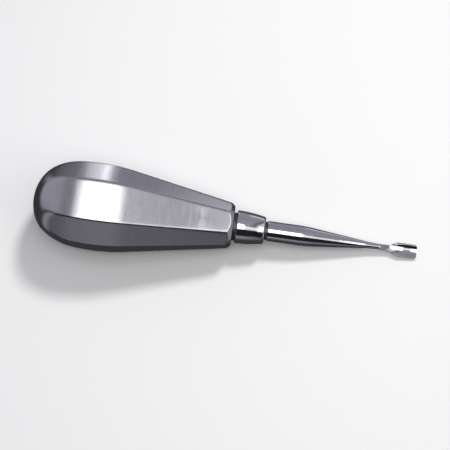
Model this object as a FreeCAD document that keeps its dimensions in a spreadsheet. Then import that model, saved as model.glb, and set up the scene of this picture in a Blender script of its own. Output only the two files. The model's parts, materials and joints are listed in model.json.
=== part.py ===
"""Dental elevator with a hollow, pear-shaped handle.

Every piece is drawn on the tool's own axis: X runs from the butt of the handle to the tip of the blade, with
X = 0 on the handle's front face, and Z points up, on the hollow side of the blade. One placement then lays
the whole tool down as it rests on a table: on the flat under the handle's belly and on the back of the blade.
"""
import FreeCAD, Part
import math
import os
import Sketcher
from FreeCAD import Placement, Rotation, Vector as V

SIZES = {
    # handle: a round pear with eight flats ground on it, four wide ones and four narrower ones between them
    "handle_length": 64.0,
    "pear_radius": 14.75,
    "belly_to_butt": 20.0,
    "belly_arc_radius": 64.0,
    "wide_flat_sink": 1.5,
    "narrow_flat_sink": 0.9,
    "runout_to_butt": 14.0,
    "runout_radius": 24.0,
    # the handle's neck, outside the bush: its wall under a wide flat, and how much more a narrow flat
    # and a corner have
    "neck_wall": 1.6,
    "narrow_neck_rise": 0.3,
    "corner_neck_rise": 0.95,
    "front_face_width": 1.15,
    "front_bevel_length": 1.4,
    # the handle's hollow
    "shell_wall": 1.0,
    "butt_wall": 1.4,
    "neck_depth": 6.0,
    # bush in the neck
    "bush_radius": 5.2,
    "bush_length": 14.0,
    "spigot_step": 0.8,
    "spigot_reach": 1.0,
    # ferrule
    "ferrule_length": 9.2,
    "ferrule_rear_radius": 5.3,
    "ferrule_front_wall": 1.05,
    "ferrule_crown_radius": 45.0,
    "ferrule_edge_radius": 0.5,
    "seat_depth": 3.0,
    # forging: tang, shank and neck
    "tang_radius": 2.0,
    "tang_length": 12.5,
    "shank_radius": 3.2,
    "relief_depth": 0.35,
    "relief_length": 0.9,
    "straight_end": 20.0,
    "neck_start": 48.0,
    "neck_radius": 0.9,
    "neck_reach": 2.0,
    "taper_blend_radius": 60.0,
    # forging: blade
    "blade_start": 50.0,
    "tip_station": 59.0,
    "blade_half_width": 2.2,
    "wing_length": 3.4,
    "wing_root_half_width": 0.8,
    "shoulder_radius": 1.8,
    "tip_corner": 0.4,
    "back_depth": 1.25,
    "side_edge": 0.1,
    "channel_depth": 0.6,
    "channel_radius": 3.1,
    "channel_station": 56.5,
    "scoop_radius": 30.0,
    "edge_bevel_length": 2.4,
    "edge_depth": 0.8,
    # cross pin
    "pin_radius": 0.8,
    "pin_station": 9.0,
    "pin_end_gap": 0.5,
    # fits: a brazed sleeve and a driven pin, each the gap on one side
    "braze_gap": 0.05,
    "pin_gap": 0.02,
}
BEYOND = 2.0  # how far a cutting outline reaches past the metal
BELLY = "handle_length - belly_to_butt"  # from the front face to the widest place

doc = FreeCAD.newDocument("dental_elevator")
sheet = doc.addObject("Spreadsheet::Sheet", "sizes")
for row, (alias, number) in enumerate(SIZES.items(), start=1):
    sheet.set(f"A{row}", alias)
    sheet.set(f"B{row}", str(number))
    sheet.setAlias(f"B{row}", alias)
doc.recompute()


def size(alias):
    return float(sheet.get(alias))


def words_of(text):
    return text.replace("-", " - ").replace("+", " + ").split()


def value_of(place):
    """The number that a place stands for: a number itself, or a sum of names and numbers."""
    if not isinstance(place, str):
        return place
    total, sign = 0.0, 1
    for word in words_of(place):
        if word in "+-":
            sign = 1 if word == "+" else -1
        else:
            total += sign * (size(word) if word in SIZES else float(word))
    return total


def mirror(text):
    """The same sum of names with every sign turned."""
    swapped = ["+" if word == "-" else "-" if word == "+" else word for word in words_of(text)]
    return " ".join(swapped) if swapped[0] in "+-" else "- " + " ".join(swapped)


def mirrored(corner):
    """A corner on the other side of the X axis."""
    x, y, *kind = corner
    return (x, mirror(y) if isinstance(y, str) else -y, *kind)


def bind(item, target, text):
    """Ties a property or a sketch's constraint to the sheet."""
    item.setExpression(target, " ".join(f"sizes.{word}" if word in SIZES else word for word in words_of(text)))


def new_sketch(body, name, role="XZ_Plane"):
    plane = next(feature for feature in body.Origin.OriginFeatures if feature.Role == role)
    sketch = body.newObject("Sketcher::SketchObject", name)
    sketch.AttachmentSupport = [(plane, "")]
    sketch.MapMode = "FlatFace"
    return sketch


def hold(sketch, side, point, x, y):
    """Binds the coordinates that are texts. Those that are numbers are only where the solver starts."""
    for direction, place in (("DistanceX", x), ("DistanceY", y)):
        if isinstance(place, str):
            number = sketch.addConstraint(
                Sketcher.Constraint(direction, -1, 1, side, point, value_of(place)))
            bind(sketch, f"Constraints[{number}]", place)


def outline(sketch, corners, arcs=()):
    """Draws a closed outline through the corners, in order.

    A corner is (x, y), or (x, y, "tangent") where its two sides run smoothly into each other. arcs maps a
    side's number, counted from its first corner, to (centre x, centre y, turn) or to (centre x, centre y,
    turn, radius), where turn is +1 for an arc that runs anticlockwise.
    """
    arcs = dict(arcs)
    spots = [V(value_of(x), value_of(y), 0) for x, y, *_ in corners]
    ends = []
    for side, start in enumerate(spots):
        end = spots[(side + 1) % len(spots)]
        if side not in arcs:
            sketch.addGeometry(Part.LineSegment(start, end), False)
            ends.append((1, 2))
            continue
        x, y, turn = arcs[side][:3]
        centre = V(value_of(x), value_of(y), 0)
        first, last = (start, end) if turn > 0 else (end, start)
        circle = Part.Circle(centre, V(0, 0, 1), (first - centre).Length)
        angles = [math.atan2((spot - centre).y, (spot - centre).x) for spot in (first, last)]
        sketch.addGeometry(Part.ArcOfCircle(circle, *angles), False)
        ends.append((1, 2) if turn > 0 else (2, 1))
    for side in range(len(corners)):
        before = side - 1 if side else len(corners) - 1
        joint = "Tangent" if "tangent" in corners[side] else "Coincident"
        sketch.addConstraint(Sketcher.Constraint(joint, before, ends[before][1], side, ends[side][0]))
        hold(sketch, side, ends[side][0], *corners[side][:2])
    for side, (x, y, _, *radius) in arcs.items():
        hold(sketch, side, 3, x, y)
        if radius:
            number = sketch.addConstraint(Sketcher.Constraint("Radius", side, value_of(radius[0])))
            bind(sketch, f"Constraints[{number}]", radius[0])


def feature(body, kind, name, sketch, **settings):
    """Adds a sketch-based feature to a body."""
    item = body.newObject(f"PartDesign::{kind}", name)
    item.Profile = (sketch, [""])
    for setting, number in settings.items():
        setattr(item, setting, number)
    sketch.Visibility = False
    return item


def revolve(body, name, sketch, kind="Revolution"):
    """Turns a sketch on the XZ plane a full turn about the tool's axis."""
    return feature(body, kind, name, sketch, ReferenceAxis=(sketch, ["H_Axis"]), Angle=360.0)


def cut_through(body, name, sketch):
    """Cuts a sketch's outline through the body, on both sides of the sketch."""
    return feature(body, "Pocket", name, sketch, Type="ThroughAll", SideType="Symmetric")


def handle_shell(label, keep):
    """A half shell of the handle: keep is +1 for the upper half, -1 for the lower."""
    body = doc.addObject("PartDesign::Body", label)

    pear = new_sketch(body, label + "_pear")
    outline(pear, [
        ("0", "0"),
        ("0", "bush_radius + front_face_width"),
        ("- front_bevel_length", "bush_radius + neck_wall + corner_neck_rise"),
        (-0.7 * value_of(BELLY), 0.92 * size("pear_radius"), "tangent"),
        (-0.82 * size("handle_length"), 0.95 * size("pear_radius"), "tangent"),
        ("- handle_length", "0"),
    ], {
        3: (mirror(BELLY), "pear_radius - belly_arc_radius", 1, "belly_arc_radius"),
        4: (0.95 * size("pear_radius") - size("handle_length"), "0", 1),
    })
    revolve(body, label + "_blank", pear)

    neck = "bush_radius + neck_wall"
    for kind, turn, front in (("wide", 0.0, neck), ("narrow", 45.0, neck + " + narrow_neck_rise")):
        top = size("pear_radius") + BEYOND
        flat = new_sketch(body, f"{label}_{kind}_flat")
        flat.AttachmentOffset = Placement(V(), Rotation(V(1, 0, 0), turn))
        outline(flat, [
            (f"{BEYOND}", front),
            (f"{BEYOND}", f"pear_radius + {BEYOND}"),
            (f"- handle_length - {BEYOND}", f"pear_radius + {BEYOND}"),
            (f"- handle_length - {BEYOND}", 0.3 * top),
            ("runout_to_butt - handle_length", 0.85 * top, "tangent"),
            (-0.7 * value_of(BELLY), 0.8 * top, "tangent"),
            ("0", front),
        ], {
            3: (-value_of(BELLY), -0.7 * top, -1, "runout_radius"),
            4: (mirror(BELLY), f"pear_radius - {kind}_flat_sink - belly_arc_radius", -1, "belly_arc_radius"),
        })
        grind = cut_through(body, f"{label}_{kind}_grind", flat)
        around = body.newObject("PartDesign::PolarPattern", f"{label}_{kind}_flats")
        around.Originals = [grind]
        around.Axis = (pear, ["H_Axis"])
        around.Angle = 360.0
        around.Occurrences = 4
        body.Tip = around

    hollow = new_sketch(body, label + "_hollow_section")
    outline(hollow, [
        (f"{BEYOND}", "0"),
        (f"{BEYOND}", "bush_radius + braze_gap"),
        ("- neck_depth", "bush_radius + braze_gap"),
        (-0.7 * value_of(BELLY), 0.8 * size("pear_radius"), "tangent"),
        (-0.82 * size("handle_length"), 0.8 * size("pear_radius"), "tangent"),
        ("butt_wall - handle_length", "0"),
    ], {
        3: (mirror(BELLY), "pear_radius - wide_flat_sink - belly_arc_radius", 1,
            "belly_arc_radius - shell_wall"),
        4: (0.8 * size("pear_radius") - size("handle_length"), "0", 1),
    })
    revolve(body, label + "_hollow", hollow, "Groove")

    other_half = new_sketch(body, label + "_other_half")
    far = f"pear_radius + {BEYOND}"
    far = mirror(far) if keep > 0 else far
    outline(other_half, [
        (f"{BEYOND}", "0"),
        (f"{BEYOND}", far),
        (f"- handle_length - {BEYOND}", far),
        (f"- handle_length - {BEYOND}", "0"),
    ])
    cut_through(body, label + "_parting", other_half)
    return body


def neck_bush():
    """Turned plug: its body fills the shells' neck, and its spigot carries the ferrule."""
    body = doc.addObject("PartDesign::Body", "neck_bush")
    section = new_sketch(body, "bush_section")
    outline(section, [
        ("spigot_reach", "tang_radius + braze_gap"),
        ("spigot_reach", "bush_radius - spigot_step"),
        ("0", "bush_radius - spigot_step"),
        ("0", "bush_radius"),
        ("- bush_length", "bush_radius"),
        ("- bush_length", "tang_radius + braze_gap"),
    ])
    revolve(body, "bush_turning", section)
    cut_through(body, "bush_pin_bore", pin_section(body))
    return body


def pin_section(body):
    """The circle of the cross pin's bore, on the plane that holds the tool's axis."""
    sketch = new_sketch(body, body.Label + "_pin_circle")
    sketch.addGeometry(Part.Circle(V(-size("pin_station"), 0, 0), V(0, 0, 1), size("pin_radius")), False)
    hold(sketch, 0, 3, "- pin_station", "0")
    number = sketch.addConstraint(Sketcher.Constraint("Radius", 0, size("pin_radius")))
    bind(sketch, f"Constraints[{number}]", "pin_radius + pin_gap")
    return sketch


def ferrule():
    """Polished ring, slightly crowned, that slips over the tang and seats the shank's shoulder."""
    body = doc.addObject("PartDesign::Body", "ferrule")
    section = new_sketch(body, "ferrule_section")
    end = "spigot_reach + ferrule_length"
    outline(section, [
        ("spigot_reach", "tang_radius + braze_gap"),
        ("spigot_reach", "ferrule_rear_radius"),
        (end, "shank_radius + ferrule_front_wall"),
        (end, "shank_radius + braze_gap"),
        (end + " - seat_depth", "shank_radius + braze_gap"),
        (end + " - seat_depth", "tang_radius + braze_gap"),
    ], {
        1: (0.0, -size("ferrule_crown_radius"), -1, "ferrule_crown_radius"),
    })
    turned = revolve(body, "ferrule_turning", section)
    doc.recompute()
    outer = [size("ferrule_rear_radius"), value_of("shank_radius + ferrule_front_wall")]
    edges = [f"Edge{number}" for number, edge in enumerate(turned.Shape.Edges, start=1)
             if any(abs(edge.BoundBox.YLength / 2 - radius) < 1e-3 for radius in outer)
             and edge.BoundBox.XLength < 1e-3]
    rounding = body.newObject("PartDesign::Fillet", "ferrule_edges")
    rounding.Base = (turned, edges)
    bind(rounding, "Radius", "ferrule_edge_radius")
    body.Tip = rounding
    return body


def blade_and_shank():
    """One forging: winged gouge blade, neck, tapered shank and the tang that enters the handle."""
    body = doc.addObject("PartDesign::Body", "blade_and_shank")

    plan = new_sketch(body, "blade_plan", "XY_Plane")
    shoulder = "blade_start + wing_length"
    side = [
        ("blade_start", "wing_root_half_width"),
        (value_of(shoulder) - 1.0, 0.85 * size("blade_half_width"), "tangent"),
        (shoulder, "blade_half_width"),
        ("tip_station - tip_corner", "blade_half_width"),
        ("tip_station", "blade_half_width - tip_corner"),
    ]
    outline(plan, side + [mirrored(corner) for corner in reversed(side)], {
        1: (shoulder, "blade_half_width - shoulder_radius", -1),
        7: (shoulder, "shoulder_radius - blade_half_width", -1),
    })
    blank = feature(body, "Pad", "blade_blank", plan, Reversed=True)
    bind(blank, "Length", f"back_depth + {BEYOND}")

    back = new_sketch(body, "back_section", "YZ_Plane")
    wide = f"blade_half_width + {BEYOND}"
    outline(back, [
        (mirror(wide), "- side_edge"),
        (mirror(wide), f"- back_depth - {2 * BEYOND}"),
        (wide, f"- back_depth - {2 * BEYOND}"),
        (wide, "- side_edge"),
        ("blade_half_width", "- side_edge"),
        ("0", "- back_depth"),
        ("- blade_half_width", "- side_edge"),
    ], {
        4: ("0", size("blade_half_width") - size("back_depth"), -1),
        5: ("0", size("blade_half_width") - size("back_depth"), -1),
    })
    cut_through(body, "back_grind", back)

    bevel = new_sketch(body, "edge_bevel_section")
    outline(bevel, [
        ("tip_station - edge_bevel_length", "- back_depth"),
        ("tip_station", "- edge_depth"),
        (f"tip_station + {BEYOND}", "- edge_depth"),
        (f"tip_station + {BEYOND}", f"- back_depth - {BEYOND}"),
        ("tip_station - edge_bevel_length", f"- back_depth - {BEYOND}"),
    ])
    cut_through(body, "edge_bevel", bevel)

    turned = new_sketch(body, "shank_section")
    seat = "spigot_reach + ferrule_length - seat_depth"
    relief = "spigot_reach + ferrule_length"
    outline(turned, [
        ("- tang_length", "0"),
        ("- tang_length", "tang_radius"),
        (seat, "tang_radius"),
        (seat, "shank_radius"),
        (relief, "shank_radius"),
        (relief, "shank_radius - relief_depth"),
        (relief + " + relief_length", "shank_radius - relief_depth"),
        (relief + " + relief_length", "shank_radius"),
        ("straight_end", "shank_radius"),
        (size("straight_end") + 6, size("shank_radius") - 0.4, "tangent"),
        (size("neck_start") - 6, size("neck_radius") + 0.4, "tangent"),
        ("neck_start", "neck_radius"),
        ("blade_start + neck_reach", "neck_radius"),
        ("blade_start + neck_reach", "0"),
    ], {
        8: ("straight_end", "shank_radius - taper_blend_radius", -1),
        10: ("neck_start", "neck_radius + taper_blend_radius", 1),
    })
    revolve(body, "shank_turning", turned)

    channel = new_sketch(body, "channel_section", "YZ_Plane")
    bind(channel, "AttachmentOffset.Base.z", "channel_station")
    channel.addGeometry(Part.Circle(V(0, 1, 0), V(0, 0, 1), size("channel_radius")), False)
    hold(channel, 0, 3, "0", "channel_radius - channel_depth")
    number = channel.addConstraint(Sketcher.Constraint("Radius", 0, size("channel_radius")))
    bind(channel, f"Constraints[{number}]", "channel_radius")
    height = "scoop_radius - channel_depth"
    channel.addGeometry(Part.LineSegment(V(-1, value_of(height), 0), V(1, value_of(height), 0)), True)
    hold(channel, 1, 1, "- 1", height)
    hold(channel, 1, 2, "1", height)
    feature(body, "Groove", "channel", channel, ReferenceAxis=(channel, ["Axis0"]), Angle=360.0)
    cut_through(body, "tang_pin_bore", pin_section(body))
    return body


def tang_pin():
    """Cross pin through the bush and the tang, with its ends just inside the bush."""
    pin = doc.addObject("Part::Cylinder", "tang_pin")
    bind(pin, "Radius", "pin_radius")
    bind(pin, "Height", "bush_radius + bush_radius - pin_end_gap - pin_end_gap")
    return pin


def resting_place():
    """The placement that lays the tool down, with the origin under the middle of its length."""
    heel_radius = size("belly_arc_radius")
    heel = V(-value_of(BELLY), 0, value_of("belly_arc_radius + wide_flat_sink - pear_radius"))
    toe = V(size("tip_station") - size("edge_bevel_length"), 0, -size("back_depth"))
    reach = heel - toe
    dip = math.asin(heel_radius / reach.Length) - math.atan2(reach.z, -reach.x)
    turn = Rotation(V(0, 1, 0), math.degrees(dip))
    butt = -size("handle_length") * math.cos(dip)
    tip = size("tip_station") * math.cos(dip)
    lift = heel_radius - turn.multVec(heel).z
    return Placement(V(-(butt + tip) / 2, 0, lift), turn)


pieces = {
    "handle_shell_upper": handle_shell("handle_shell_upper", 1),
    "handle_shell_lower": handle_shell("handle_shell_lower", -1),
    "neck_bush": neck_bush(),
    "ferrule": ferrule(),
    "blade_and_shank": blade_and_shank(),
    "tang_pin": tang_pin(),
}
across = Placement(V(-size("pin_station"), size("bush_radius") - size("pin_end_gap"), 0),
                   Rotation(V(1, 0, 0), 90))
for label, piece in pieces.items():
    piece.Label = label
    piece.Placement = resting_place() * (across if label == "tang_pin" else Placement())
doc.recompute()

for item in doc.Objects:
    if "Invalid" in item.State or "Error" in item.State:
        raise RuntimeError(f"{item.Label} failed: {item.State}")
for label, piece in pieces.items():
    if piece.Shape.isNull() or not piece.Shape.isValid() or len(piece.Shape.Solids) != 1:
        raise RuntimeError(f"{label} isn't one valid solid")

os.makedirs("parts", exist_ok=True)
for label, piece in pieces.items():
    piece.Shape.exportStep(f"parts/{label}.step")
    box = piece.Shape.BoundBox
    print(f"{label}: {piece.Shape.Volume:.1f} mm3, X {box.XMin:.2f} to {box.XMax:.2f}, "
          f"Y {box.YMin:.2f} to {box.YMax:.2f}, Z {box.ZMin:.2f} to {box.ZMax:.2f}")
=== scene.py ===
import json
import math
import bmesh
import bpy
import numpy as np
from mathutils import Matrix, Vector


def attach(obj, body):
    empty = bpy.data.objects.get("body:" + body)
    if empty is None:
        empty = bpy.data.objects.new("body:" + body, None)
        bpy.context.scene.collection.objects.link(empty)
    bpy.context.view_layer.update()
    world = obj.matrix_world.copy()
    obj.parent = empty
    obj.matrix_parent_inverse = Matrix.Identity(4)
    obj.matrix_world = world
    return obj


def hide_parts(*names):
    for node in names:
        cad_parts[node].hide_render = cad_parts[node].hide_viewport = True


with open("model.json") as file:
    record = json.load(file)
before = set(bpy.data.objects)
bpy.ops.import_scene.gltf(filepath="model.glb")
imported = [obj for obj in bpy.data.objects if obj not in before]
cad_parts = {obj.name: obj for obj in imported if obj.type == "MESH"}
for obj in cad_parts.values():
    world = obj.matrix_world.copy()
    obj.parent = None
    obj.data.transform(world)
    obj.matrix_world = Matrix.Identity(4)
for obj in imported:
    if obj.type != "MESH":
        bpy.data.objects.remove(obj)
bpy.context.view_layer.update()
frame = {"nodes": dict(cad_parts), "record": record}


# ---- Handle --------------------------------------------------------------------------------------------
# Two pressed stainless half shells, welded edge to edge along the tool and ground flush. The round pear
# has eight flats ground on it, across its length, that run out into the round butt. Satin finish.
HANDLE_LENGTH = 64.0
PEAR_RADIUS = 14.75
BELLY = 44.0
BUTT_REACH = HANDLE_LENGTH - BELLY
BELLY_ARC = 64.0
NECK_CORNER = 7.75
BEVEL_LENGTH = 1.4
FACE_RADIUS = 6.35
WIDE = (6.8, 13.25)
NARROW = (7.1, 13.85)
RUNOUT = 50.0
RUNOUT_ARC = 24.0
WALL = 1.0
BUTT_WALL = 1.4
NECK_DEPTH = 6.0
NECK_BORE = 5.25
WIDE_CORNER = 25.5

# How softly corners are rounded, in mm: between flats by the neck, what is added to that at the butt, and
# round the front bevel.
CORNER_SOFTNESS = 0.09
BUTT_SOFTNESS = 0.4
BEVEL_SOFTNESS = 0.05

# Every piece is drawn in millimetres on the tool's own axis: X from the handle's front face towards the tip
# of the blade, Z up out of the blade's hollow. The shank's mount says where that axis lies in the frame.
MM = 0.001
SHANK_MIDDLE = 15.55
shank_mount = next(mount for mount in frame["record"]["mounts"] if mount["name"] == "shank")
AXIS = Vector(shank_mount["axis"]).normalized()
UP = Vector((-AXIS.z, 0.0, AXIS.x))
FRONT = Vector(shank_mount["pos_m"]) - AXIS * SHANK_MIDDLE * MM
DIP = math.atan2(-AXIS.z, AXIS.x)


def laid_down(points):
    """Points on the tool's axis, in millimetres, as places in the frame, in metres."""
    points = np.asarray(points, float).reshape(-1, 3) * MM
    across = np.array((0.0, 1.0, 0.0))
    return (np.array(FRONT) + points[:, :1] * np.array(AXIS) + points[:, 1:2] * across
            + points[:, 2:] * np.array(UP))


def solid_piece(name, points, faces, material, node, crease=35.0):
    """A closed mesh that stands for a CAD node, with its corners sharper than crease kept crisp."""
    mesh = bpy.data.meshes.new(name)
    mesh.from_pydata(laid_down(points).tolist(), [], faces)
    work = bmesh.new()
    work.from_mesh(mesh)
    bmesh.ops.recalc_face_normals(work, faces=work.faces)
    work.to_mesh(mesh)
    work.free()
    mesh.shade_smooth()
    mesh.set_sharp_from_angle(angle=math.radians(crease))
    mesh.materials.append(material)
    piece = bpy.data.objects.new(name, mesh)
    bpy.context.collection.objects.link(piece)
    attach(piece, "root")
    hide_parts(node)
    return piece


def node(tree, kind, settings=None, **inputs):
    """Adds a shader node. An input is a value, or another node's output to link."""
    made = tree.nodes.new("ShaderNode" + kind)
    for setting, value in (settings or {}).items():
        setattr(made, setting, value)
    for name, value in inputs.items():
        socket = made.inputs[int(name[1:])] if name[1:].isdigit() else made.inputs[name.replace("_", " ")]
        if isinstance(value, bpy.types.NodeSocket):
            tree.links.new(value, socket)
        else:
            socket.default_value = value
    return made


# From here a place along the handle is its depth behind the front face.


def swell(depth, start, start_height, belly_height, arc):
    """Height of an outline that rises straight from its start and rounds over the belly on an arc."""
    middle = belly_height - arc
    away = math.hypot(BELLY - start, start_height - middle)
    slope = math.asin(arc / away) - math.atan2(start_height - middle, BELLY - start)
    rounded = middle + np.sqrt(np.maximum(arc ** 2 - (depth - BELLY) ** 2, 0.0))
    straight = start_height + (depth - start) * math.tan(slope)
    return np.where(depth < BELLY - arc * math.sin(slope), straight, rounded)


def dome(reach, height, arc):
    """Radius of the round end that runs smoothly out of the belly's arc and ends reach behind it."""
    drop = arc - height
    return (arc ** 2 - reach ** 2 - drop ** 2) / (2 * (arc - reach))


DOME = dome(BUTT_REACH, PEAR_RADIUS, BELLY_ARC)
DOME_CENTRE = HANDLE_LENGTH - DOME
HOLLOW_DOME = dome(BUTT_REACH - BUTT_WALL, WIDE[1] - WALL, BELLY_ARC - WALL)
HOLLOW_CENTRE = HANDLE_LENGTH - BUTT_WALL - HOLLOW_DOME


def round_end(depth, radius, centre, dome_radius, belly_height, arc, side):
    """How far a place is outside a pear: side where the straight and the belly count, a ball behind."""
    lean = math.atan2(centre - BELLY, arc - belly_height)
    ball = np.hypot(depth - centre, radius) - dome_radius
    return np.where(depth < centre + dome_radius * math.sin(lean), radius - side, ball)


def blend(fields, softness):
    """The outermost of several fields, with the corner between two of them rounded by softness."""
    fields = np.stack(fields)
    top = fields.max(axis=0)
    return top + softness * np.log(np.exp((fields - top) / softness).sum(axis=0))


def outside_handle(depth, y, z):
    """How far a place is outside the handle: the pear, cut by the eight flats and the front bevel."""
    radius = np.hypot(y, z)
    side = swell(depth, BEVEL_LENGTH, NECK_CORNER, PEAR_RADIUS, BELLY_ARC)
    fields = [round_end(depth, radius, DOME_CENTRE, DOME, PEAR_RADIUS, BELLY_ARC, side)]
    lean = math.asin((RUNOUT - BELLY) / BELLY_ARC)
    for number in range(8):
        neck, belly = NARROW if number % 2 else WIDE
        turn = math.radians(45.0 * number)
        height = swell(depth, 0.0, neck, belly, BELLY_ARC)
        middle = RUNOUT - RUNOUT_ARC * math.sin(lean)
        level = belly - BELLY_ARC + (BELLY_ARC - RUNOUT_ARC) * math.cos(lean)
        runout = level + np.sqrt(np.maximum(RUNOUT_ARC ** 2 - (depth - middle) ** 2, 0.0))
        flat = np.where(depth < RUNOUT, height, runout)
        fields.append(y * math.cos(turn) + z * math.sin(turn) - flat)
    near_butt = np.clip((depth - RUNOUT) / (HANDLE_LENGTH - RUNOUT), 0.0, 1.0)
    body = blend(fields, CORNER_SOFTNESS + BUTT_SOFTNESS * near_butt ** 1.5)
    steep = math.atan2(NECK_CORNER - FACE_RADIUS, BEVEL_LENGTH)
    bevel = (radius - FACE_RADIUS) * math.cos(steep) - depth * math.sin(steep)
    return blend([body, bevel], BEVEL_SOFTNESS)


def outside_hollow(depth, y, z):
    """How far a place is outside the hollow: the neck's bore, and a round pear behind it."""
    radius = np.hypot(y, z)
    side = swell(depth, NECK_DEPTH, NECK_BORE, WIDE[1] - WALL, BELLY_ARC - WALL)
    side = np.where(depth < NECK_DEPTH, NECK_BORE, side)
    return round_end(depth, radius, HOLLOW_CENTRE, HOLLOW_DOME, WIDE[1] - WALL, BELLY_ARC - WALL, side)


def skin(outside, starts, tilts, turns):
    """The surface where outside is nought, met by rays from the axis: rows of places, one per start."""
    start = np.asarray(starts)[:, None]
    tilt = np.asarray(tilts)[:, None]
    turn = np.asarray(turns)[None, :]
    back = np.sin(tilt) * np.ones_like(turn)
    y, z = np.cos(tilt) * np.cos(turn), np.cos(tilt) * np.sin(turn)
    low, high = np.zeros_like(y), np.full_like(y, 1.5 * PEAR_RADIUS)
    halvings = 40
    for _ in range(halvings):
        middle = (low + high) / 2
        out = outside(start + middle * back, middle * y, middle * z) > 0
        low, high = np.where(out, low, middle), np.where(out, middle, high)
    return np.stack([-(start + low * back), low * y, low * z], axis=-1)


def half_turns():
    """Angles over a half turn, crowded at the four corners between flats."""
    corners = [WIDE_CORNER, 90 - WIDE_CORNER, 90 + WIDE_CORNER, 180 - WIDE_CORNER]
    steps = 10
    turns = [WIDE_CORNER * math.sin(math.pi / 2 * step / steps) for step in range(steps)]
    for low, high in zip(corners, corners[1:]):
        turns += [low + (high - low) * (1 - math.cos(math.pi * step / (2 * steps))) / 2
                  for step in range(2 * steps)]
    turns += [180 - WIDE_CORNER * math.sin(math.pi / 2 * step / steps) for step in range(steps, -1, -1)]
    return np.radians(turns)


def half_shell(side):
    """Points and faces of one half shell: side is +1 for the upper one, -1 for the lower one."""
    turns = half_turns()
    front_zone = 1.6
    front_rows, long_rows, butt_rows = 17, 61, 46
    bevel = np.linspace(0.0, front_zone, front_rows)
    straight = np.linspace(front_zone, DOME_CENTRE, long_rows)[1:]
    tilts = np.radians(np.linspace(0.0, 90.0, butt_rows))[1:-1]
    starts = np.concatenate([bevel, straight, np.full(len(tilts), DOME_CENTRE)])
    tilts = np.concatenate([np.zeros(len(bevel) + len(straight)), tilts])
    outer = skin(outside_handle, starts, tilts, turns)
    inner = skin(outside_hollow, starts, tilts, turns)
    poles = [skin(outside, [DOME_CENTRE], [math.pi / 2], [0.0])[0, 0]
             for outside in (outside_handle, outside_hollow)]
    rows, columns = outer.shape[:2]
    points = np.concatenate([outer.reshape(-1, 3), inner.reshape(-1, 3), poles])
    points[:, 2] *= side

    def at(layer, row, column):
        if row == rows:
            return 2 * rows * columns + layer
        return layer * rows * columns + row * columns + column

    faces = []
    for layer in (0, 1):
        for row in range(rows):
            for column in range(columns - 1):
                face = [at(layer, row, column), at(layer, row + 1, column),
                        at(layer, row + 1, column + 1), at(layer, row, column + 1)]
                faces.append(list(dict.fromkeys(face)))
    for column in range(columns - 1):
        faces.append([at(0, 0, column), at(0, 0, column + 1), at(1, 0, column + 1), at(1, 0, column)])
    for edge in (0, columns - 1):
        for row in range(rows):
            faces.append([at(0, row, edge), at(0, row + 1, edge), at(1, row + 1, edge), at(1, row, edge)])
    return points, faces


# Every steel surface is ground or buffed across the tool's length, so its fine lines run round the axis.
# One group gives the lines, as a fine and a broad value, and the dull film that handling leaves.
def grain_group():
    """The node group that gives the lines and the film to every steel."""
    group = bpy.data.node_groups.new("ground_grain", "ShaderNodeTree")
    sockets = group.interface
    for name, start in (("Lines per mm", 5.0), ("Line length mm", 7.0)):
        socket = sockets.new_socket(name, in_out="INPUT", socket_type="NodeSocketFloat")
        socket.default_value = start
    for name in ("Fine", "Broad", "Film"):
        sockets.new_socket(name, in_out="OUTPUT", socket_type="NodeSocketFloat")
    source = group.nodes.new("NodeGroupInput")
    result = group.nodes.new("NodeGroupOutput")
    place = node(group, "TexCoord")
    level = node(group, "Mapping", {"vector_type": "POINT"}, Vector=place.outputs["Object"],
                 Rotation=(0.0, -DIP, 0.0))
    parts = node(group, "SeparateXYZ", Vector=level.outputs["Vector"])
    close = node(group, "Math", {"operation": "MULTIPLY"}, _0=source.outputs["Lines per mm"], _1=1 / MM)
    long = node(group, "Math", {"operation": "DIVIDE"}, _0=1 / MM, _1=source.outputs["Line length mm"])
    values = {}
    for name, spread, detail in (("Fine", 1.0, 3.0), ("Broad", 0.16, 2.0)):
        rate = node(group, "Math", {"operation": "MULTIPLY"}, _0=close.outputs[0], _1=spread)
        along = node(group, "Math", {"operation": "MULTIPLY"}, _0=parts.outputs["X"], _1=rate.outputs[0])
        side = node(group, "Math", {"operation": "MULTIPLY"}, _0=parts.outputs["Y"], _1=long.outputs[0])
        rise = node(group, "Math", {"operation": "MULTIPLY"}, _0=parts.outputs["Z"], _1=long.outputs[0])
        spot = node(group, "CombineXYZ", X=along.outputs[0], Y=side.outputs[0], Z=rise.outputs[0])
        noise = node(group, "TexNoise", Vector=spot.outputs[0], Scale=1.0, Detail=detail, Roughness=0.6)
        values[name] = noise.outputs["Fac"]
    film = node(group, "TexNoise", Vector=level.outputs["Vector"], Scale=90.0, Detail=4.0, Roughness=0.65)
    values["Film"] = film.outputs["Fac"]
    for name, value in values.items():
        group.links.new(value, result.inputs[name])
    return group


GRAIN = grain_group()


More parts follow.
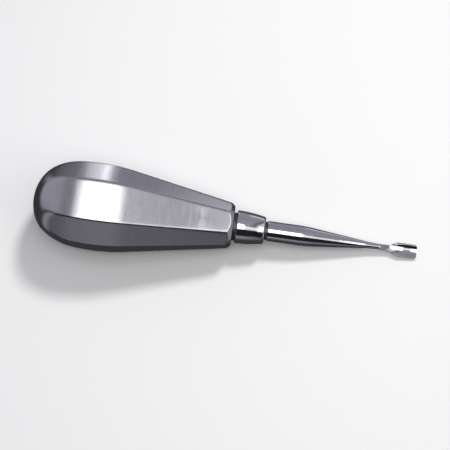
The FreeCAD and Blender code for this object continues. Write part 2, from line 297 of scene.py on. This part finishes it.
def steel(name, pale, dark, rough, rough_spread, film, bump, lines, length, lean):
    """A steel with its grain round the axis. film is the roughness that handling adds, lean its anisotropy."""
    material = bpy.data.materials.new(name)
    material.use_nodes = True
    tree = material.node_tree
    shader = tree.nodes["Principled BSDF"]
    grain = node(tree, "Group", {"node_tree": GRAIN}, Lines_per_mm=lines, Line_length_mm=length)
    mixed = node(tree, "MixRGB", Fac=grain.outputs["Broad"], Color1=(*dark, 1.0), Color2=(*pale, 1.0))
    tree.links.new(mixed.outputs[0], shader.inputs["Base Color"])
    lined = node(tree, "MapRange", Value=grain.outputs["Broad"], From_Min=0.3, From_Max=0.7,
                 To_Min=rough - rough_spread, To_Max=rough + rough_spread)
    dulled = node(tree, "MapRange", Value=grain.outputs["Film"], From_Min=0.45, From_Max=0.75,
                  To_Min=0.0, To_Max=film)
    total = node(tree, "Math", {"operation": "ADD"}, _0=lined.outputs[0], _1=dulled.outputs[0])
    tree.links.new(total.outputs[0], shader.inputs["Roughness"])
    relief = node(tree, "Bump", Height=grain.outputs["Fine"], Strength=bump, Distance=0.02 * MM)
    tree.links.new(relief.outputs["Normal"], shader.inputs["Normal"])
    shader.inputs["Metallic"].default_value = 1.0
    shader.inputs["Anisotropic"].default_value = lean
    turn = node(tree, "Tangent", {"direction_type": "RADIAL", "axis": "X"})
    tree.links.new(turn.outputs[0], shader.inputs["Tangent"])
    return material


brushed = steel("brushed_steel", pale=(0.56, 0.56, 0.585), dark=(0.47, 0.47, 0.495), rough=0.215,
                rough_spread=0.01, film=0.01, bump=0.05, lines=9.0, length=5.0, lean=0.4)
for side, label in ((1, "upper"), (-1, "lower")):
    points, faces = half_shell(side)
    solid_piece(f"handle_half_{label}", points, faces, brushed, f"handle_shell_{label}")


# ---- Bush and cross pin --------------------------------------------------------------------------------
# The turned bush shows only as the bottom of the groove between the handle and the ferrule. It and the pin
# that locks the tang, which is inside it, get a near-black steel that paints the shade in that groove. Both
# keep the shape that the CAD gives them.
# Near-black steel: painted shade for the groove bottoms between the handle, the ferrule and the shank.
painted_shade_steel = steel("turned_steel_painted_shade", pale=(0.16, 0.155, 0.15), dark=(0.08, 0.078, 0.08), rough=0.45,
             rough_spread=0.08, film=0.12, bump=0.4, lines=8.0, length=5.0, lean=0.3)
for name in ("neck_bush", "tang_pin"):
    hidden = frame["nodes"][name]
    hidden.data.materials.clear()
    hidden.data.materials.append(painted_shade_steel)


# ---- Ferrule -------------------------------------------------------------------------------------------
# A ring turned from bar, crowned and tapered towards the shank, with both rims rounded over, then polished
# on a wheel. It slips over the tang and is brazed to the bush behind and to the shank's shoulder in front.
FERRULE = (1.0, 10.2)
FERRULE_REAR = 5.3
FERRULE_FRONT = 4.25
FERRULE_CROWN = 45.0
FERRULE_RIM = 0.55
TANG = 2.0
SHANK = 3.2
BRAZE = 0.05
SEAT = 3.0


def rounded_outline(corners, steps=8):
    """An outline with each corner (x, radius, rounding) turned into an arc of points."""
    outline = []
    count = len(corners)
    for number, (x, radius, rounding) in enumerate(corners):
        here = np.array((x, radius))
        if rounding == 0:
            outline.append(here)
            continue
        before = np.array(corners[number - 1][:2]) - here
        after = np.array(corners[(number + 1) % count][:2]) - here
        before, after = before / np.linalg.norm(before), after / np.linalg.norm(after)
        half = math.acos(float(np.clip(before @ after, -1, 1))) / 2
        middle = here + (before + after) / np.linalg.norm(before + after) * rounding / math.sin(half)
        first, last = here + before * rounding / math.tan(half), here + after * rounding / math.tan(half)
        for step in range(steps + 1):
            chord = first + (last - first) * step / steps - middle
            outline.append(middle + chord / np.linalg.norm(chord) * rounding)
    return np.array(outline)


def turned(outline, count=128):
    """Points and faces of a ring turned about the axis from a closed outline of (x, radius)."""
    turn = np.linspace(0, 2 * np.pi, count, endpoint=False)
    rows = len(outline)
    x = np.repeat(outline[:, 0], count)
    y = np.outer(outline[:, 1], np.cos(turn)).ravel()
    z = np.outer(outline[:, 1], np.sin(turn)).ravel()
    faces = [[row * count + column, row * count + (column + 1) % count,
              (row + 1) % rows * count + (column + 1) % count, (row + 1) % rows * count + column]
             for row in range(rows) for column in range(count)]
    return np.stack([x, y, z], axis=1), faces


def ferrule_outline():
    """The ring's section, from the rear bore round the outside to the seat in front."""
    rear, front = FERRULE
    half_chord = math.hypot(front - rear, FERRULE_REAR - FERRULE_FRONT) / 2
    rise = FERRULE_CROWN - math.sqrt(FERRULE_CROWN ** 2 - half_chord ** 2)
    crown = []
    for share in np.linspace(0, 1, 13)[1:-1]:
        x = rear + (front - rear) * share
        height = FERRULE_REAR + (FERRULE_FRONT - FERRULE_REAR) * share
        crown.append((x, height + rise * (1 - (2 * share - 1) ** 2), 0))
    bore, seat = TANG + BRAZE, SHANK + BRAZE
    return rounded_outline([
        (rear, bore, 0), (rear, FERRULE_REAR, FERRULE_RIM), *crown, (front, FERRULE_FRONT, FERRULE_RIM),
        (front, seat, 0), (front - SEAT, seat, 0), (front - SEAT, bore, 0)])


polished = steel("polished_steel", pale=(0.66, 0.66, 0.69), dark=(0.58, 0.58, 0.61), rough=0.075,
                 rough_spread=0.02, film=0.06, bump=0.05, lines=7.0, length=6.0, lean=0.25)
points, faces = turned(ferrule_outline())
solid_piece("ferrule_ring", points, faces, polished, "ferrule")


# ---- Blade and shank -----------------------------------------------------------------------------------
# One stainless forging: tang, shank, neck and a winged gouge blade, hollow on top and ground to a thin
# straight edge. All that shows is buffed bright. The tang and the groove behind the shank get the near-black
# steel that paints the shade in that groove.
TANG_END = -12.5
SEAT_STATION = FERRULE[1] - SEAT
RELIEF = 0.35
RELIEF_LENGTH = 0.9
STRAIGHT_END = 20.0
NECK_START = 48.0
NECK = 0.9
TAPER_BLEND = 60.0
BLADE_START = 50.0
TIP = 59.0
BLADE_HALF_WIDTH = 2.2
WING = 3.4
WING_ROOT = 0.8
SHOULDER = 1.8
TIP_CORNER = 0.4
BACK_DEPTH = 1.25
SIDE_EDGE = 0.1
CHANNEL_DEPTH = 0.6
CHANNEL_RADIUS = 3.1
CHANNEL_STATION = 56.5
SCOOP = 30.0
BEVEL = 2.4
EDGE_DEPTH = 0.8


def shank_radius(x):
    """Radius of the round part: straight, then a straight taper between two long blends, then the neck."""
    top, bottom = SHANK - TAPER_BLEND, NECK + TAPER_BLEND
    run, fall = NECK_START - STRAIGHT_END, top - bottom
    away = math.hypot(run, fall)
    slope = math.acos(2 * TAPER_BLEND / away) - math.atan2(run, -fall)
    first = STRAIGHT_END - TAPER_BLEND * math.sin(slope)
    last = NECK_START + TAPER_BLEND * math.sin(slope)
    high = top + TAPER_BLEND * math.cos(slope)
    over = top + np.sqrt(TAPER_BLEND ** 2 - np.clip(x - STRAIGHT_END, 0, 30) ** 2)
    under = bottom - np.sqrt(TAPER_BLEND ** 2 - np.clip(NECK_START - x, 0, 30) ** 2)
    line = high + (x - first) * math.tan(slope)
    return np.where(x < first, over, np.where(x > last, under, line))


def soft_least(first, second, softness):
    """The lower of two heights, with the corner between them rounded."""
    top = np.minimum(first, second)
    return top - softness * np.log(np.exp((top - first) / softness) + np.exp((top - second) / softness))


def blade_half_width(x):
    """Half the blade's width: the wings flare straight from the neck and round over into straight sides."""
    centre = BLADE_START + WING
    away = math.hypot(WING, BLADE_HALF_WIDTH - SHOULDER - WING_ROOT)
    slope = math.asin(SHOULDER / away) + math.atan2(BLADE_HALF_WIDTH - SHOULDER - WING_ROOT, WING)
    flare = WING_ROOT + (x - BLADE_START) * math.tan(slope)
    middle = BLADE_HALF_WIDTH - SHOULDER
    rounded = middle + np.sqrt(np.maximum(SHOULDER ** 2 - (x - centre) ** 2, 0))
    width = np.where(x < centre - SHOULDER * math.sin(slope), flare, rounded)
    width = np.where(x > centre, BLADE_HALF_WIDTH, width)
    return np.minimum(width, BLADE_HALF_WIDTH - TIP_CORNER + (TIP - x))


def loop_round(x, y, top, back):
    """One loop of places round the forging at x: along its top, then back along its underside."""
    thinnest = 0.02
    back = np.minimum(back, top - thinnest)
    upper = np.stack([np.full(y.size, x), y, top], axis=1)
    lower = np.stack([np.full(y.size, x), y, back], axis=1)
    return np.concatenate([upper, lower[::-1]])


def forging_section(x, count):
    """One section of the neck or the blade: a loop of places, the top from right to left, then the back."""
    radius = float(shank_radius(np.array(min(x, NECK_START))))
    runout = 2.0
    crease = 0.02
    into_blade = float(np.clip((x - NECK_START) / (BLADE_START + runout - NECK_START), 0, 1))
    into_blade = into_blade ** 2 * (3 - 2 * into_blade)
    width = max(float(blade_half_width(np.array(x))), radius) if x > BLADE_START else radius
    crown = radius * math.sqrt(1 - float(np.clip((x - BLADE_START) / runout, 0, 1)) ** 2)
    depth = radius + (BACK_DEPTH - radius) * into_blade
    side = SIDE_EDGE * into_blade
    share = np.cos(np.linspace(0, np.pi, count))
    y = share * width
    top = crown * np.sqrt(1 - share ** 2)
    floor = (x - CHANNEL_STATION) ** 2 / (2 * SCOOP) - CHANNEL_DEPTH
    hollow = floor + CHANNEL_RADIUS - np.sqrt(np.maximum(CHANNEL_RADIUS ** 2 - y ** 2, 0))
    top = soft_least(top, hollow, crease)
    if width - (depth - side) < 1e-6:
        back = -side - np.sqrt(np.maximum(width ** 2 - y ** 2, 0))
    else:
        arc = (width ** 2 + (depth - side) ** 2) / (2 * (depth - side))
        back = arc - depth - np.sqrt(np.maximum(arc ** 2 - y ** 2, 0))
    bevel = -EDGE_DEPTH - (TIP - x) * (BACK_DEPTH - EDGE_DEPTH) / BEVEL
    back = -soft_least(-back, -np.full_like(back, bevel), crease)
    return loop_round(x, y, top, back)


def forging():
    """Points and faces of the whole forging, from the tang's end to the cutting edge."""
    relief = FERRULE[1] + RELIEF_LENGTH
    chamfer = 0.3
    groove_edge = 0.05
    rounded_lip = ((-0.1, RELIEF), (0.0, 0.12), (0.03, 0.04), (0.12, 0.0))
    shank_rows, blade_rows = 70, 130
    steps = [(TANG_END, TANG - chamfer), (TANG_END + chamfer, TANG), (SEAT_STATION, TANG),
             (SEAT_STATION, SHANK), (FERRULE[1], SHANK), (FERRULE[1] + groove_edge, SHANK - RELIEF)]
    steps += [(relief + ahead, SHANK - drop) for ahead, drop in rounded_lip]
    stations = np.linspace(relief + 0.5, NECK_START - 1.5, shank_rows)
    steps += [(x, float(shank_radius(np.array(x)))) for x in stations]
    count = 61
    share = np.linspace(0, np.pi, count)
    rings = [loop_round(x, r * np.cos(share), r * np.sin(share), -r * np.sin(share)) for x, r in steps]
    rings += [forging_section(x, count) for x in np.linspace(NECK_START - 1.2, TIP, blade_rows)]
    total = 2 * count
    faces = [[row * total + column, row * total + (column + 1) % total,
              (row + 1) * total + (column + 1) % total, (row + 1) * total + column]
             for row in range(len(rings) - 1) for column in range(total)]
    last = (len(rings) - 1) * total
    faces += [[last + column, last + column + 1, last + total - 2 - column, last + total - 1 - column]
              for column in range(count - 1)]
    faces += [[column, column + 1, total - 2 - column, total - 1 - column] for column in range(count - 1)]
    return np.concatenate(rings), faces


points, faces = forging()
blade = solid_piece("shank_and_blade", points, faces, polished, "blade_and_shank",
                    crease=30.0)
# The tang and the relief groove in front of the ferrule get the near-black steel: painted shade in the groove.
blade.data.materials.append(painted_shade_steel)
for face in blade.data.polygons:
    along = (face.center - FRONT).dot(AXIS) / MM
    if along < FERRULE[1] + RELIEF_LENGTH - 0.05:
        face.material_index = 1


# ---- Table, light and camera ---------------------------------------------------------------------------
# A plain pale table under three soft boxes, three low strips behind the tool and a lamp for the table. The
# room's brightness changes with direction, and the tool doesn't reflect the table. The camera looks almost
# straight down on the flat that lies uppermost.
table = bpy.data.meshes.new("table")
reach = 1.2
table.from_pydata([(-reach, -reach, 0), (reach, -reach, 0), (reach, reach, 0), (-reach, reach, 0)], [],
                  [(0, 1, 2, 3)])
pale = bpy.data.materials.new("pale_table")
pale.use_nodes = True
pale.node_tree.nodes["Principled BSDF"].inputs["Base Color"].default_value = (0.82, 0.82, 0.81, 1.0)
pale.node_tree.nodes["Principled BSDF"].inputs["Roughness"].default_value = 0.7
table.materials.append(pale)
floor = bpy.data.objects.new("table", table)
bpy.context.collection.objects.link(floor)
floor.visible_glossy = False


def soft_box(name, along, across, distance, width, depth, watts, colour=(1.0, 1.0, 1.0)):
    """A soft box that faces the tool: along and across are degrees from straight above it."""
    light = bpy.data.lights.new(name, "AREA")
    light.shape = "RECTANGLE"
    light.size, light.size_y = width, depth
    light.energy = watts
    light.color = colour
    box = bpy.data.objects.new(name, light)
    bpy.context.collection.objects.link(box)
    towards = UP + AXIS * math.tan(math.radians(along)) + Vector((0, 1, 0)) * math.tan(math.radians(across))
    towards.normalize()
    box.location = FRONT + towards * distance
    side = (AXIS - towards * AXIS.dot(towards)).normalized()
    box.matrix_world = Matrix.Translation(box.location) @ Matrix(
        (side, towards.cross(side), towards)).transposed().to_4x4()
    box.visible_camera = False


soft_box("overhead_box", -4.9, -4.5, 0.6, 0.276, 0.378, 1.08)
soft_box("bridge_box", 14.9, -10.5, 0.6, 0.143, 0.244, 0.105)
soft_box("tip_box", 28.2, -4.5, 0.35, 0.08, 0.25, 0.15, (1.0, 0.96, 0.91))

# Low strips behind the tool, which the upper flat reflects.
for name, place, width, watts in (
        ("rear_strip", -0.067, 0.012, 0.022),
        ("rear_glow", -0.105, 0.06, 0.022),
        ("rear_end", 0.1, 0.08, 0.014)):
    rear = bpy.data.lights.new(name, "AREA")
    rear.shape = "RECTANGLE"
    rear.size, rear.size_y, rear.energy = width, 0.1, watts
    strip = bpy.data.objects.new(name, rear)
    bpy.context.collection.objects.link(strip)
    strip.location = (place, 0.5, -0.075)
    strip.rotation_euler = (math.radians(-90), 0, 0)

# The lamp lights the table and isn't seen in the steel.
lamp = bpy.data.lights.new("table_lamp", "SPOT")
lamp.energy = 22.5
lamp.shadow_soft_size = 0.09
lamp.spot_size = math.radians(30)
lamp.spot_blend = 0.8
over = bpy.data.objects.new("table_lamp", lamp)
bpy.context.collection.objects.link(over)
over.location = (0.25, 0.55, 0.75)
over.rotation_euler = Vector(over.location).to_track_quat("Z", "Y").to_euler()
over.visible_glossy = False
over.visible_camera = False

# The room is bright overhead and behind the tool, dark in front and below, and paler beyond its two ends.
world = bpy.data.worlds.new("room")
bpy.context.scene.world = world
world.use_nodes = True
sky = world.node_tree
facing = node(sky, "TexCoord")
split = node(sky, "SeparateXYZ", Vector=facing.outputs["Generated"])


def room_side(axis, stops):
    """Brightness of the room along one axis, from stops of (share of the direction, brightness)."""
    place = node(sky, "MapRange", Value=split.outputs[axis], From_Min=-1.0, From_Max=1.0)
    ramp = node(sky, "ValToRGB", Fac=place.outputs[0])
    ramp.color_ramp.interpolation = "EASE"
    elements = ramp.color_ramp.elements
    elements.remove(elements[1])
    for number, (share, level) in enumerate(stops):
        element = elements[0] if number == 0 else elements.new((share + 1) / 2)
        element.position = (share + 1) / 2
        element.color = (level, level, level, 1.0)
    return ramp.outputs[0]


lengthwise = room_side("X", [(-1.0, 0.5), (-0.6, 0.5), (-0.35, 0.33), (-0.12, 0.33), (0.33, 0.42),
                             (0.4, 0.16), (0.44, 0.7), (0.47, 1.0), (0.54, 0.8), (0.6, 0.25),
                             (1.0, 0.3)])
crosswise = room_side("Y", [(-1.0, 0.05), (-0.35, 0.05), (-0.14, 0.8), (0.3, 1.0), (0.6, 0.95), (0.85, 0.85),
                            (1.0, 1.0)])
level = node(sky, "MixRGB", {"blend_type": "MULTIPLY"}, Fac=1.0, Color1=lengthwise, Color2=crosswise)

front = room_side("X", [(-1.0, 0.12), (-0.5, 0.2), (-0.25, 0.28), (0.0, 0.31), (0.12, 0.31), (0.22, 0.22),
                        (0.28, 0.19), (0.34, 0.06), (0.6, 0.06), (1.0, 0.5)])
low = node(sky, "MapRange", {"interpolation_type": "SMOOTHSTEP"}, Value=split.outputs["Z"],
           From_Min=0.36, From_Max=0.22)
near = node(sky, "MapRange", {"interpolation_type": "SMOOTHSTEP"}, Value=split.outputs["Y"],
            From_Min=-0.3, From_Max=-0.6)
strip = node(sky, "Math", {"operation": "MULTIPLY"}, _0=low.outputs[0], _1=near.outputs[0])
level = node(sky, "MixRGB", Fac=strip.outputs[0], Color1=level.outputs[0], Color2=front)

under = room_side("Y", [(-1.0, 0.12), (-0.9, 0.06), (0.0, 0.05), (0.7, 0.07), (0.93, 0.22), (1.0, 0.44)])
ahead = node(sky, "Math", {"operation": "MAXIMUM"}, _0=split.outputs["X"], _1=-0.05)
tilted = node(sky, "Math", {"operation": "MULTIPLY_ADD"}, _0=ahead.outputs[0], _1=0.3,
              _2=split.outputs["Z"])
down = node(sky, "MapRange", {"interpolation_type": "SMOOTHSTEP"}, Value=tilted.outputs[0],
            From_Min=0.08, From_Max=-0.25)
both = node(sky, "MixRGB", Fac=down.outputs[0], Color1=level.outputs[0], Color2=under)

beyond = node(sky, "MapRange", {"interpolation_type": "SMOOTHSTEP"}, Value=split.outputs["X"],
              From_Min=0.55, From_Max=0.8)
behind = node(sky, "MapRange", {"interpolation_type": "SMOOTHSTEP"}, Value=split.outputs["X"],
              From_Min=-0.62, From_Max=-0.82)
sideways = node(sky, "Math", {"operation": "ABSOLUTE"}, _0=split.outputs["Y"])
aside = node(sky, "MapRange", {"interpolation_type": "SMOOTHSTEP"}, Value=sideways.outputs[0],
             From_Min=0.35, From_Max=0.6)
corner = node(sky, "Math", {"operation": "MULTIPLY"}, _0=behind.outputs[0], _1=aside.outputs[0])
ends = node(sky, "Math", {"operation": "MAXIMUM"}, _0=beyond.outputs[0], _1=corner.outputs[0])
both = node(sky, "MixRGB", Fac=ends.outputs[0], Color1=both.outputs[0], Color2=(0.44, 0.42, 0.39, 1.0))
tint = node(sky, "MixRGB", {"blend_type": "MULTIPLY"}, Fac=1.0, Color1=both.outputs[0],
            Color2=(0.965, 0.955, 1.09, 1.0))
sky.links.new(tint.outputs[0], sky.nodes["Background"].inputs["Color"])

# The camera leans VIEW_TURN degrees towards -Y, and the tool runs down the picture by SLOPE degrees.
VIEW_TURN = 9.0
SLOPE = 8.0
VIEW_DISTANCE = 0.565
camera = bpy.data.objects.new("camera", bpy.data.cameras.new("camera"))
bpy.context.collection.objects.link(camera)
camera.data.lens = 142.0
turn = math.radians(VIEW_TURN)
back = (UP * math.cos(turn) - Vector((0, 1, 0)) * math.sin(turn) + AXIS * 0.012).normalized()
along = (AXIS - back * AXIS.dot(back)).normalized()
above = back.cross(along)
slope = math.radians(SLOPE)
right = along * math.cos(slope) + above * math.sin(slope)
upward = above * math.cos(slope) - along * math.sin(slope)
target = FRONT - AXIS * 2.5 * MM
spot = target + back * VIEW_DISTANCE
camera.matrix_world = Matrix((
    (right.x, upward.x, back.x, spot.x),
    (right.y, upward.y, back.y, spot.y),
    (right.z, upward.z, back.z, spot.z),
    (0, 0, 0, 1)))
bpy.context.scene.camera = camera
bpy.context.scene.view_settings.view_transform = "Standard"
